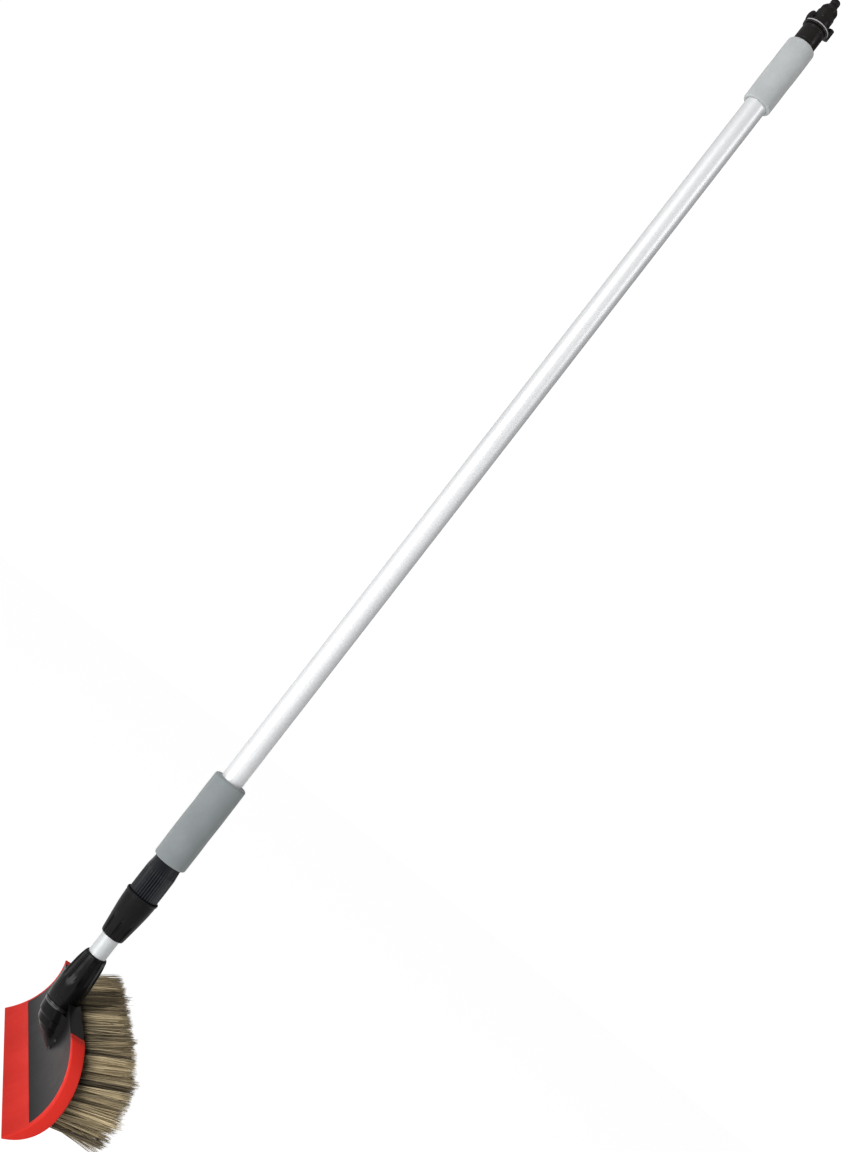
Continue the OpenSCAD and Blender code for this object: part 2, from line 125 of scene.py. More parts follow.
def noise(m, place, scale, detail=4.0, rough=0.5):
    n = add(m, "ShaderNodeTexNoise")
    n.inputs["Scale"].default_value = scale
    n.inputs["Detail"].default_value = detail
    n.inputs["Roughness"].default_value = rough
    link(m, place, "Vector", n, "Vector")
    return n


def ramp(m, source, out, stops):
    """Colours at the given positions of the source's value."""
    r = add(m, "ShaderNodeValToRGB")
    e = r.color_ramp.elements
    while len(e) < len(stops):
        e.new(0.5)
    for item, (pos, colour) in zip(e, stops):
        item.position = pos
        item.color = (*colour, 1)
    link(m, source, out, r, "Fac")
    return r


def level(m, source, out, low, high, into):
    """Drives a socket of the shader between low and high."""
    r = add(m, "ShaderNodeMapRange")
    r.inputs["To Min"].default_value = low
    r.inputs["To Max"].default_value = high
    link(m, source, out, r, "Value")
    link(m, r, "Result", shader(m), into)


def colour_from(m, r):
    link(m, r, "Color", shader(m), "Base Color")


def bump(m, source, out, strength, distance, before=None):
    """Roughens the surface by the source's value, on top of the bump before it."""
    b = add(m, "ShaderNodeBump")
    b.inputs["Strength"].default_value = strength
    b.inputs["Distance"].default_value = distance
    link(m, source, out, b, "Height")
    if before:
        link(m, before, "Normal", b, "Normal")
    link(m, b, "Normal", shader(m), "Normal")
    return b


def tube_material(name, low, high, metal):
    """Anodised aluminium, with clouds of tone and gloss that run along the pole."""
    m = material(name, low, 0.3, metal)
    cloud = noise(m, coordinates(m, TUBE_CLOUDS), 1.0, 2.0)
    colour_from(m, ramp(m, cloud, "Fac", [(0.3, low), (0.7, high)]))
    level(m, cloud, "Fac", 0.42, 0.48, "Roughness")
    return m


def plastic_material(name, low, high, rough, shine=0.5):
    """Moulded plastic, with clouded tone, scuffed gloss and a fine grain."""
    m = material(name, low, rough, Specular_IOR_Level=shine)
    place = coordinates(m)
    cloud = noise(m, place, 24.0, 3.0)
    colour_from(m, ramp(m, cloud, "Fac", [(0.35, low), (0.65, high)]))
    scuff = noise(m, place, 60.0, 6.0, 0.7)
    level(m, scuff, "Fac", rough - 0.07, rough + 0.1, "Roughness")
    bump(m, noise(m, place, PLASTIC_GRAIN, 2.0), "Fac", 0.25, PLASTIC_GRAIN_DEPTH)
    return m


def foam_material(name, low, high):
    """Closed-cell foam: fine cells over soft lumps."""
    m = material(name, low, 0.85, Sheen_Weight=0.25, Sheen_Roughness=0.6)
    place = coordinates(m)
    cloud = noise(m, place, 45.0, 3.0)
    cell = add(m, "ShaderNodeTexVoronoi")
    cell.inputs["Scale"].default_value = FOAM_CELLS
    link(m, place, "Vector", cell, "Vector")
    colour_from(m, ramp(m, cloud, "Fac", [(0.3, low), (0.7, high)]))
    level(m, cloud, "Fac", 0.78, 0.95, "Roughness")
    lumps = bump(m, noise(m, place, FOAM_LUMPS, 3.0), "Fac", 0.25, FOAM_LUMP_DEPTH)
    bump(m, cell, "Distance", 0.35, FOAM_CELL_DEPTH, lumps)
    return m


def rubber_material():
    """Matt red rubber with faint clouds."""
    m = material("red_rubber", (0.55, 0.021, 0.013), 0.5, Specular_IOR_Level=0.12)
    place = coordinates(m)
    cloud = noise(m, place, 18.0, 3.0)
    stops = [(0.3, (0.52, 0.018, 0.011)), (0.7, (0.60, 0.025, 0.016))]
    colour_from(m, ramp(m, cloud, "Fac", stops))
    level(m, noise(m, place, 90.0, 5.0, 0.65), "Fac", 0.42, 0.62, "Roughness")
    bump(m, noise(m, place, RUBBER_GRAIN, 2.0), "Fac", 0.2, RUBBER_GRAIN_DEPTH)
    return m


def bristle_material():
    """Beige filaments: a tone for each strand, and painted shade that darkens each strand towards its root.
    """
    m = material("bristles", (0.3, 0.25, 0.15), 0.6)
    tone = add(m, "ShaderNodeAttribute", attribute_name="tone")
    along = add(m, "ShaderNodeAttribute", attribute_name="along")
    base = ramp(m, tone, "Fac", [
        (0.0, (0.045, 0.033, 0.019)),
        (0.35, (0.17, 0.132, 0.078)),
        (0.7, (0.50, 0.395, 0.225)),
        (1.0, (0.82, 0.68, 0.42)),
    ])
    # Painted shade: the colour is multiplied down towards each strand's root, where the tufts crowd
    # together.
    shade = ramp(m, along, "Fac", [
        (0.0, (0.25, 0.24, 0.22)),
        (0.35, (0.85, 0.85, 0.85)),
        (1.0, (1, 1, 1)),
    ])
    mix = add(m, "ShaderNodeMix", data_type="RGBA", blend_type="MULTIPLY")
    mix.inputs["Factor"].default_value = 1.0
    # A mix node for colours takes them at sockets 6 and 7 and gives the result at output 2.
    link(m, base, "Color", mix, 6)
    link(m, shade, "Color", mix, 7)
    link(m, mix, 2, shader(m), "Base Color")
    level(m, tone, "Fac", 0.5, 0.75, "Roughness")
    return m


BLACK_LOW, BLACK_HIGH = (0.007, 0.0058, 0.0056), (0.011, 0.0092, 0.009)
MATERIALS = {
    "tube": tube_material("anodised_tube", (0.63, 0.64, 0.65), (0.69, 0.70, 0.71), 0.45),
    # foam_dark and foam_light are one grey foam in a shaded and a lit copy: foam_dark's darker colour is
    # painted shade, foam_light's lighter colour is painted light.
    "foam_dark": foam_material("foam_dark", (0.145, 0.163, 0.167), (0.17, 0.19, 0.194)),
    "foam_light": foam_material("foam_light", (0.3, 0.314, 0.32), (0.34, 0.354, 0.36)),
    "black_plastic": plastic_material("black_plastic", BLACK_LOW, BLACK_HIGH, 0.3, 0.16),
    "white_plastic": plastic_material("white_plastic", (0.72, 0.72, 0.69), (0.8, 0.8, 0.77), 0.4),
    "seal_rubber": plastic_material("seal_rubber", (0.012, 0.012, 0.012), (0.022, 0.022, 0.021), 0.6),
    # trim_grey: light grey for the band round the valve ring's rim, a painted highlight for the glint along
    # the rim's edge.
    "trim_grey": plastic_material("trim_grey", (0.26, 0.26, 0.27), (0.32, 0.32, 0.33), 0.28),
    "red_rubber": rubber_material(),
    "bristles": bristle_material(),
}
INNER_TUBE_MATERIAL = tube_material("inner_anodised_tube", (0.47, 0.49, 0.5), (0.53, 0.545, 0.55), 0.5)
# The black parts differ slightly in tone and gloss.
GLOSS_MATERIAL = plastic_material(
    "gloss_plastic", (0.003, 0.003, 0.0031), (0.0045, 0.0045, 0.0047), 0.27, 0.12
)
COLLAR_MATERIAL = plastic_material(
    "collar_plastic", (0.0055, 0.005, 0.005), (0.008, 0.0075, 0.0075), 0.38, 0.08
)
SLEEVE_MATERIAL = plastic_material(
    "sleeve_plastic", (0.003, 0.004, 0.0062), (0.005, 0.0065, 0.0095), 0.13, 0.32
)
SHELL_MATERIAL = plastic_material(
    "shell_plastic", (0.0072, 0.0064, 0.0066), (0.0105, 0.0094, 0.0096), 0.36, 0.09
)
SEAM_MATERIAL = plastic_material(
    "seam_plastic", (0.012, 0.012, 0.0122), (0.016, 0.016, 0.0162), 0.2, 0.7
)

for row in frame["record"]["subparts"]:
    o = nodes[row["node"]]
    if not o.material_slots:
        o.data.materials.append(MATERIALS[row["material_slot"]])
    for s in o.material_slots:
        s.material = MATERIALS[row["material_slot"]]

# ---------------------------------------------------------------- mesh tools

MERGE_DISTANCE = 1e-6
CORNER_SHARE = 0.45
LEAST_FILLET = 0.02


def add_piece(name, me, slot, body, replaced, mat=None):
    """Puts a mesh in the scene as a piece that rides on body and stands for the replaced CAD nodes."""
    me.materials.append(mat or MATERIALS[slot])
    o = bpy.data.objects.new(name, me)
    bpy.context.collection.objects.link(o)
    if replaced:
        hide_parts(*replaced)
    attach(o, body)
    return o


def piece(name, verts, faces, slot, body, *replaced, sharp=35.0, mat=None):
    """Makes a piece from millimetre points. Edges bent by more than sharp degrees stay sharp."""
    me = bpy.data.meshes.new(name)
    me.from_pydata([tuple(c * MM for c in v) for v in verts], [], faces)
    bm = bmesh.new()
    bm.from_mesh(me)
    bmesh.ops.remove_doubles(bm, verts=bm.verts, dist=MERGE_DISTANCE)
    bmesh.ops.recalc_face_normals(bm, faces=bm.faces)
    bm.to_mesh(me)
    bm.free()
    me.shade_smooth()
    me.set_sharp_from_angle(angle=math.radians(sharp))
    return add_piece(name, me, slot, body, replaced, mat)


def ring_faces(rows, count):
    """Quads between neighbouring closed rings of count points each."""
    faces = []
    for i in range(rows):
        for k in range(count):
            m = (k + 1) % count
            faces.append((i * count + k, i * count + m, (i + 1) * count + m, (i + 1) * count + k))
    return faces


def capped_faces(rows, count):
    """The quads of ring_faces with a face over the first ring and the last."""
    ends = [tuple(range(count)), tuple(range(rows * count, (rows + 1) * count))]
    return ends + ring_faces(rows, count)


def turned(name, profile, slot, body, *replaced, segments=96, radius=None, sharp=35.0, mat=None):
    """Turns a closed (r, z) profile round Z. radius(r, angle, z) may change the radius of a point."""
    verts, faces = [], []
    n = len(profile)
    for i in range(segments):
        a = 2 * math.pi * i / segments
        for r, z in profile:
            q = radius(r, a, z) if radius else r
            verts.append((q * math.cos(a), q * math.sin(a), z))
    for i in range(segments):
        j = (i + 1) % segments
        for k in range(n):
            m = (k + 1) % n
            faces.append((i * n + k, j * n + k, j * n + m, i * n + m))
    return piece(name, verts, faces, slot, body, *replaced, sharp=sharp, mat=mat)


def rounded(points, fillet, steps=4):
    """Closed (r, z) profile with each corner rounded by fillet, or by the corner's own third entry."""
    out = []
    n = len(points)
    for i in range(n):
        p = Vector(points[i][:2])
        size = points[i][2] if len(points[i]) > 2 else fillet
        before = Vector(points[i - 1][:2]) - p
        after = Vector(points[(i + 1) % n][:2]) - p
        size = min(size, before.length * CORNER_SHARE, after.length * CORNER_SHARE)
        if size < LEAST_FILLET:
            out.append(tuple(p))
            continue
        a, b = p + before.normalized() * size, p + after.normalized() * size
        for k in range(steps + 1):
            t = k / steps
            out.append(tuple((1 - t) ** 2 * a + 2 * t * (1 - t) * p + t * t * b))
    return out


def finer(profile, step):
    """The profile with points added so that every stretch is shorter than two steps."""
    out = []
    for i, p in enumerate(profile):
        q = profile[(i + 1) % len(profile)]
        count = max(1, int(math.dist(p, q) / step))
        out += [tuple(a + (b - a) * k / count for a, b in zip(p, q)) for k in range(count)]
    return out


def smooth_step(x, low, high):
    """0 below low, 1 above high and a smooth rise between them."""
    t = min(1.0, max(0.0, (x - low) / (high - low)))
    return t * t * (3 - 2 * t)


# ---------------------------------------------------------------- pole

TUBE_R = node_r("outer_tube")
INNER_R = node_r("inner_tube")
TUBE_WALL = 1.1
PUSHED_ON_R = TUBE_R + 0.02
DENTS, DENT_SPREAD = 14, 90


def tube(name, node, body, mat):
    """A plain drawn tube, built in short stretches along its length."""
    low, high = node_z(node)
    r, bore = node_r(node), node_r(node) - TUBE_WALL
    wall = rounded([(r, low), (r, high), (bore, high), (bore, low)], 0.3)
    turned(name, finer(wall, 8.0), "tube", body, node, mat=mat)


tube("outer_tube_skin", "outer_tube", "outer_pole", MATERIALS["tube"])
tube("inner_tube_skin", "inner_tube", "inner_pole", INNER_TUBE_MATERIAL)


def foam_grip(name, node, slot, corner, swell):
    """Foam grip with rounded corners, a swollen middle and a few shallow dents."""
    low, high = node_z(node)
    r, bore = node_r(node), PUSHED_ON_R
    profile = finer(
        rounded([(r, low, corner), (r, high, corner), (bore, high, 1.2), (bore, low, 1.2)], 1.0, 8), 4.0
    )
    rng = random.Random(7)
    dents = [
        (rng.uniform(0, ANY_ANGLE), rng.uniform(low, high), rng.uniform(0.1, 0.28)) for _ in range(DENTS)
    ]

    def uneven(q, a, z):
        weight = smooth_step(q, bore + 1, r - 1)
        out = q - swell * weight * (2 * (z - low) / (high - low) - 1) ** 2
        for angle, at, deep in dents:
            turn = math.atan2(math.sin(a - angle), math.cos(a - angle)) * r
            out -= weight * deep * math.exp(-(turn * turn + (z - at) ** 2) / DENT_SPREAD)
        return out

    o = turned(name, profile, slot, "outer_pole", node, radius=uneven, sharp=60)


# The lower grip gets the shaded copy of the foam (painted shade), the upper grip the lit copy (painted
# light).
foam_grip("lower_foam_grip", "lower_grip", "foam_dark", 4.0, 0.25)
foam_grip("upper_foam_grip", "upper_grip", "foam_light", 6.0, 0.35)

# ---------------------------------------------------------------- ribbed sleeve and twist collar

SLEEVE_RIBS, RIB_DEPTH, SLEEVE_TAPER = 36, 1.25, 1.3
NOSE_R, NOSE_BORE_R = 15.2, 13.0
sleeve_r = node_r("ribbed_sleeve")
sleeve_top = node_z("lower_grip")[0] - 0.3
nose_low = node_z("ribbed_sleeve")[0]
collar_low, collar_top = node_z("twist_collar")


def sleeve_radius(r, a, z):
    """Ribs along the sleeve, and a taper towards the grip."""
    if r < sleeve_r - 2.5:
        return r
    rise = smooth_step(z, sleeve_top - 15, sleeve_top)
    rib = 0.5 - 0.5 * math.cos(SLEEVE_RIBS * a)
    return r - SLEEVE_TAPER * rise - RIB_DEPTH * (1 - rib) ** 1.4


turned(
    "ribbed_sleeve_skin",
    finer(rounded([
        (sleeve_r, collar_top - 1.2), (sleeve_r + 0.1, collar_top + 12), (sleeve_r, sleeve_top - 12),
        (sleeve_r - 0.2, sleeve_top), (PUSHED_ON_R, sleeve_top), (PUSHED_ON_R, collar_top - 1.2),
    ], 0.7), 4.0),
    "black_plastic", "outer_pole", "ribbed_sleeve", segments=SLEEVE_RIBS * 12,
    radius=sleeve_radius, sharp=50, mat=SLEEVE_MATERIAL,
)
turned(
    "sleeve_nose",
    rounded([
        (NOSE_R, nose_low), (NOSE_R, collar_top - 1.5), (NOSE_BORE_R, collar_top - 1.5),
        (NOSE_BORE_R, nose_low),
    ], 0.3),
    "black_plastic", "outer_pole",
)

SLOTS, SLOT_TURN, SLOT_DEPTH = 8, math.radians(29), 1.6
COLLAR_BORE_R = 15.3


def collar_radius(r, a, z):
    """Finger slots in the lower part of the collar. The bore stays round."""
    if r < INNER_R + 0.8 or z > collar_low + 26 or (r < 13.4 and z > collar_low + 3):
        return r
    turn = math.remainder(a - SLOT_TURN, 2 * math.pi / SLOTS) * r
    side = 1 - smooth_step(abs(turn), 0.7, 1.7)
    up = 1 - smooth_step(z, collar_low + 19, collar_low + 25)
    return r - min(SLOT_DEPTH, 0.45 * (r - INNER_R - 0.7)) * side * up


collar_r = node_r("twist_collar")
turned(
    "twist_collar_skin",
    finer(rounded([
        (INNER_R + 0.7, collar_low + 0.4, 0.2), (12.7, collar_low, 0.9), (13.5, collar_low + 2.6, 1.2),
        (15.75, collar_low + 20, 4), (17.55, collar_low + 35, 5), (18.25, collar_top - 4.2, 1.5),
        (18.1, collar_top - 3.4, 0.4), (collar_r, collar_top - 2.6, 0.6),
        (collar_r, collar_top - 0.2, 0.7), (18.05, collar_top, 0.4), (17.35, collar_top - 0.6, 0.3),
        (17.35, collar_top - 1.8, 0.2), (COLLAR_BORE_R, collar_top - 1.8, 0.2),
        (COLLAR_BORE_R, collar_top - 31, 0.2), (INNER_R + 2.0, collar_low + 9, 0.2),
        (INNER_R + 0.7, collar_low + 4, 0.2),
    ], 0.5), 1.0),
    "black_plastic", "collar", "twist_collar", segments=336, radius=collar_radius, sharp=32,
    mat=COLLAR_MATERIAL,
)

# ---------------------------------------------------------------- hose end

cap_low, cap_high = node_z("end_cap")
cap_r, cap_bore = node_r("end_cap"), TUBE_R + 0.05
cap_floor = cap_low + 7.5
turned(
    "end_cap_skin",
    rounded([
        (cap_bore, cap_low), (cap_r, cap_low, 0.9), (cap_r, cap_low + 3.2, 0.3),
        (cap_r - 0.35, cap_low + 3.5, 0.2), (cap_r - 0.35, cap_low + 4.1, 0.2),
        (cap_r, cap_low + 4.4, 0.3),
        (cap_r - 0.1, cap_high - 4.6, 0.4), (cap_r - 1.3, cap_high - 4.2, 0.4),
        (cap_r - 1.3, cap_high - 2.9, 0.4), (cap_r - 0.2, cap_high - 2.4, 0.5),
        (cap_r - 0.4, cap_high, 0.7), (9.6, cap_high, 0.2), (9.6, cap_floor, 0.2),
        (cap_bore, cap_floor, 0.2),
    ], 0.4),
    "black_plastic", "outer_pole", "end_cap", segments=128,
)

ring_low, ring_high = node_z("valve_ring")
ring_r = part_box("valve_ring")[1][0] / MM
RING_TEETH, TOOTH_HEIGHT = 44, 0.22


def ring_radius(r, a, z):
    """Fine teeth round the upper part of the valve ring's rim."""
    if r < ring_r - 3.5:
        return r
    return r + TOOTH_HEIGHT * math.cos(RING_TEETH * a) * smooth_step(z, ring_low + 3.3, ring_low + 3.7)


turned(
    "valve_ring_skin",
    finer(rounded([
        (2.1, ring_low), (ring_r - 0.2, ring_low, 0.5), (ring_r - 0.2, ring_low + 1.75, 0.3),
        (ring_r - 0.9, ring_low + 1.9, 0.1), (ring_r - 0.9, ring_low + 3.1, 0.1),
        (ring_r - 0.2, ring_low + 3.25, 0.3), (ring_r - 0.25, ring_low + 4.8, 0.6),
        (ring_r - 2.6, ring_low + 6.4, 0.6), (2.1, ring_low + 6.4, 0.2),
    ], 0.4), 1.2),
    "black_plastic", "valve_turn_ring", "valve_ring", segments=352, radius=ring_radius, sharp=32,
)
# A light grey band in a groove round the ring's rim: a painted highlight for the glint along the rim's
# edge.
turned(
    "valve_ring_highlight_band",
    rounded([
        (ring_r - 0.95, ring_low + 1.95), (ring_r + 0.1, ring_low + 1.95),
        (ring_r + 0.1, ring_low + 3.05), (ring_r - 0.95, ring_low + 3.05),
    ], 0.3),
    "trim_grey", "valve_turn_ring", "valve_ring_trim", segments=256,
)


def finger_lobe(name, side, centre, round_back):
    """Finger lobe of the valve ring: an upright post beside the nut, rounded on all its edges."""
    post_r, edge, foot, top = 3.6, 0.9, ring_low + 0.8, ring_high
    clear = node_r("valve_nut") + 0.35
    stations, around = 24, 40
    verts = []
    for i in range(stations + 1):
        t = i / stations
        end = min(t, 1 - t) * (top - foot)
        shrink = edge * (1 - math.sqrt(1 - (1 - min(end, edge) / edge) ** 2))
        bulge = (math.sin(math.pi * (0.12 + 0.76 * t)) - 0.37) / 0.63 if round_back else 1.0
        for k in range(around):
            a = 2 * math.pi * k / around
            x, y = (post_r - shrink) * math.sin(a), centre + (post_r - shrink) * math.cos(a)
            y = clear + (y - clear) * (1 - 0.35 * (1 - bulge)) if y > clear else y
            # The inside of the lobe is hollowed to clear the nut.
            out = math.hypot(x, y)
            if out < clear + shrink:
                x, y = x * (clear + shrink) / out, y * (clear + shrink) / out
            verts.append((x, side * y, foot + (top - foot) * t))
    faces = capped_faces(stations, around)
    piece(name, verts, faces, "black_plastic", "valve_turn_ring", "valve_ring", sharp=50)


finger_lobe("long_finger_lobe", -1, ring_r, False)
finger_lobe("short_finger_lobe", 1, ring_r - 1.8, True)

seat_low, seat_high = node_z("valve_nut")
hex_r = node_r("valve_nut")
GROOVE_TURN, GROOVE_DEPTH = math.pi / 18, 0.45
NIPPLE_BORE_R = 3.0


def hex_radius(r, a, z):
    """Six flats on the valve nut, and fine grooves round its upper part."""
    if r < 7.5 or z < seat_low + 6.1:
        return r
    flat = hex_r * math.cos(math.pi / 6) / math.cos(math.remainder(a, math.pi / 3))
    groove = GROOVE_DEPTH * (1 - smooth_step(abs(math.remainder(a, GROOVE_TURN)) * r, 0.25, 0.6))
    begin = smooth_step(z, seat_low + 16, seat_low + 16.6)
    end = 1 - smooth_step(z, seat_low + 20.4, seat_low + 21)
    return min(r, flat + 0.25) - groove * (begin * end)


turned(
    "valve_nut_skin",
    finer(rounded([
        (6.5, seat_low), (hex_r, seat_low, 0.6), (hex_r, seat_low + 5.6, 0.5),
        (hex_r - 0.7, seat_low + 6.2, 0.3), (hex_r - 0.2, seat_low + 7, 0.3),
        (hex_r - 0.2, seat_low + 14.6, 0.5), (hex_r - 1.5, seat_low + 15.4, 0.4),
        (hex_r - 1.3, seat_low + 21, 0.8), (hex_r - 3.6, seat_high, 0.9), (6.35, seat_high, 0.3),
        (6.35, seat_low + 12, 0.2), (8.45, seat_low + 12, 0.2), (8.45, seat_low + 9.5, 0.2),
        (6.5, seat_low + 9, 0.2),
    ], 0.4), 1.4),
    "black_plastic", "outer_pole", "valve_nut", segments=288, radius=hex_radius, sharp=28,
)

foot_z, tip_z = node_z("hose_nipple")
turned(
    "hose_nipple_skin",
    rounded([
        (NIPPLE_BORE_R, foot_z, 0.2), (8.2, foot_z, 0.4), (8.2, foot_z + 5.8, 0.4),
        (6.3, foot_z + 5.8, 0.3), (6.3, seat_high - 0.1, 0.3), (5.4, seat_high + 0.2, 0.2),
        (5.4, seat_high + 3.8, 0.3),
        (4.9, seat_high + 4.2, 0.2), (4.9, seat_high + 5.2, 0.2), (5.4, seat_high + 5.6, 0.3),
        (5.4, tip_z - 1.6, 0.9), (4.1, tip_z, 0.8), (NIPPLE_BORE_R, tip_z, 0.4),
    ], 0.3),
    "black_plastic", "outer_pole", "hose_nipple", segments=72,
)

# ---------------------------------------------------------------- head nut

NUT_LOW, NUT_HIGH = node_z("head_nut")
FLUTES, FLUTE_TURN, FLUTE_DEPTH = 8, math.radians(9), 1.9
STEM_BORE_R, STEM_R = 14.3, 14.2


def nut_radius(r, a, z):
    """Concave finger flutes that start in a curve above the nut's foot."""
    if r < INNER_R + 1.9 or z < NUT_LOW + 14:
        return r
    turn = math.remainder(a - FLUTE_TURN, 2 * math.pi / FLUTES) * FLUTES / math.pi
    foot = NUT_LOW + 21 + 7 * turn * turn
    up = smooth_step(z, foot, foot + 13)
    down = 1 - 0.55 * smooth_step(z, NUT_HIGH - 14, NUT_HIGH - 1)
    return r - FLUTE_DEPTH * up * down * (1 - smooth_step(abs(turn), 0.45, 0.86))


turned(
    "head_nut_skin",
    finer(rounded([
        (STEM_BORE_R, NUT_LOW, 0.2), (15.9, NUT_LOW, 0.8), (16.6, NUT_LOW + 3.4, 2),
        (17.15, NUT_LOW + 10, 4), (17.15, NUT_LOW + 19, 5), (16.9, NUT_LOW + 26, 5),
        (16.1, NUT_LOW + 37, 5), (14.9, NUT_LOW + 48, 4), (12.9, NUT_HIGH - 1.8, 1.4),
        (11.9, NUT_HIGH, 0.9), (INNER_R + 0.2, NUT_HIGH, 0.3), (INNER_R + 0.2, NUT_LOW + 32, 0.2),
        (STEM_BORE_R, NUT_LOW + 30, 0.2),
    ], 0.5), 1.0),
    "black_plastic", "nut", "head_nut", segments=320, radius=nut_radius, sharp=40, mat=GLOSS_MATERIAL,
)
seam_low, seam_high = node_z("socket_ring")
seam_r, seam_bore = node_r("socket_ring"), 14.25
turned(
    "socket_ring_skin",
    rounded([
        (seam_bore, seam_low, 0.2), (seam_r - 0.5, seam_low, 0.5), (seam_r - 0.2, seam_low + 1.6, 0.4),
        (seam_r - 0.2, seam_high - 1.5, 0.3), (seam_r - 0.7, seam_high - 1.3, 0.2),
        (seam_r - 0.7, seam_high - 1.0, 0.2), (seam_r, seam_high - 0.8, 0.35),
        (seam_r, seam_high - 0.1, 0.35), (seam_bore, seam_high, 0.2),
    ], 0.3),
    "black_plastic", "brush_head", "socket_ring", segments=160, mat=SEAM_MATERIAL,
)

# ---------------------------------------------------------------- brush head

# The hollow back is part of a cylinder along X. Angles round its axis are in degrees: FRONT is the
# lip of the bumper, STRIP the upper edge of the wide red strip, and REAR the flat rear face.
BACK_Y, BACK_Z, BACK_R = 56.3, NUT_LOW - 33, 72.0
FRONT, LIP_END = -46.0, -12.0
STRIP = FRONT + math.degrees(26 / BACK_R)
REAR = 35.0
# Depth of the rim and of the lip behind the hollow face, and width of the side bands.
RIM, LIP, BAND = 14.0, 1.6, 5.0
# Outline of the head as seen along Y: a large arc with a smaller one at the tail's corners.
PLAN_R = 141.5
PLAN_Z = BACK_Z + BACK_R * math.sin(math.radians(FRONT))
REAR_Z = BACK_Z + BACK_R * math.sin(math.radians(REAR))
TAIL_R, TAIL_TURN = 70.0, math.radians(26)


def on_back(x, angle, depth):
    """Point at x, at an angle round the hollow's axis and depth behind the hollow face."""
    t = math.radians(angle)
    return (x, BACK_Y - (BACK_R + depth) * math.cos(t), BACK_Z + (BACK_R + depth) * math.sin(t))


def half_width(z, inset=0.0):
    """Half the width of the head at level z, drawn in from its outline by inset."""
    up = z - PLAN_Z
    if up < 0:
        return PLAN_R - inset
    if up < (PLAN_R - inset) * math.sin(TAIL_TURN):
        return math.sqrt((PLAN_R - inset) ** 2 - up * up)
    cx = (PLAN_R - TAIL_R) * math.cos(TAIL_TURN)
    cz = (PLAN_R - TAIL_R) * math.sin(TAIL_TURN)
    return cx + math.sqrt(max(0.0, (TAIL_R - inset) ** 2 - (up - cz) ** 2))


def level_angle(s, depth, top=REAR_Z):
    """Angle of station s, bent so that the last station lies in the flat rear face at any depth."""
    if s <= 0:
        return s
    return s / REAR * math.degrees(math.asin((top - BACK_Z) / (BACK_R + depth)))


def rim_point(side, s, inset, depth, top=REAR_Z):
    """Point on the head's side (-1 or 1) at station s."""
    p = on_back(0, level_angle(s, depth, top), depth)
    return (side * half_width(p[2], inset), p[1], p[2])


def lip_depth(s):
    """Depth of the bumper, from the thin front lip out to the full rim."""
    if s >= LIP_END:
        return RIM
    rim = BACK_R + RIM
    near = BACK_R + LIP
    k = (rim * rim - near * near) / (2 * (rim - near * math.cos(math.radians(LIP_END - FRONT))))
    t = math.radians(s - LIP_END)
    return k * math.cos(t) + math.sqrt((rim - k) ** 2 - (k * math.sin(t)) ** 2) - BACK_R


def bumper():
    """Red rubber: the wide strip along the front lip, and a rounded band up both sides."""
    lip, strip_rows, side_rows, cols = 2, 9, 40, 28
    face_turns, under_turns, hair = 5, 4, 1e-6
    stations = [FRONT, FRONT + 0.25, FRONT + 0.9, FRONT + lip]
    stations += [FRONT + lip + (STRIP - FRONT - lip) * i / strip_rows for i in range(1, strip_rows + 1)]
    stations += [STRIP + (REAR - 0.35 - STRIP) * i / side_rows for i in range(1, side_rows + 1)] + [REAR]
    verts, faces, chains, face_rows, back_rows = [], [], {-1: [], 1: []}, [], []

    def put(p):
        verts.append(p)
        return len(verts) - 1

    for s in stations:
        end = 0.4 if s in (FRONT, REAR) else 0.0
        deep = lip_depth(s)
        soft = min(1.0 + 1.3 * smooth_step(s, -44, -15), deep * 0.45)
        under = min(1.3, deep * 0.4)
        for side in (-1, 1):
            chain = [(BAND, end)]
            for k in range(face_turns + 1):
                t = math.pi / 2 * k / face_turns
                chain.append((soft * (1 - math.sin(t)) + end, soft * (1 - math.cos(t)) + end))
            for k in range(under_turns + 1):
                t = math.pi / 2 * k / under_turns
                chain.append((under * (1 - math.cos(t)) + end, deep - under * (1 - math.sin(t)) - end))
            chain.append((BAND, deep - end))
            chains[side].append([put(rim_point(side, s, inset, d)) for inset, d in chain])
        if s <= STRIP + hair:
            left, right = chains[-1][-1], chains[1][-1]
            for rows, k in ((face_rows, 0), (back_rows, -1)):
                a, b = Vector(verts[left[k]]), Vector(verts[right[k]])
                inner = [put(tuple(a.lerp(b, c / cols))) for c in range(1, cols)]
                rows.append([left[k]] + inner + [right[k]])
    for side in (-1, 1):
        c = chains[side]
        for i in range(len(c) - 1):
            for k in range(len(c[0]) - 1):
                faces.append((c[i][k], c[i][k + 1], c[i + 1][k + 1], c[i + 1][k]))
            if stations[i] >= STRIP - hair:
                faces.append((c[i][-1], c[i][0], c[i + 1][0], c[i + 1][-1]))
        faces.append(tuple(c[0]))
        faces.append(tuple(c[-1]))
    for rows in (face_rows, back_rows):
        for i in range(len(rows) - 1):
            for k in range(cols):
                faces.append((rows[i][k], rows[i][k + 1], rows[i + 1][k + 1], rows[i + 1][k]))
    for row in (0, -1):
        for k in range(cols):
            a, b = face_rows[row], back_rows[row]
            faces.append((a[k], a[k + 1], b[k + 1], b[k]))
    return verts, faces


piece("bumper_skin", *bumper(), "red_rubber", "brush_head", "rubber_bumper", sharp=42)


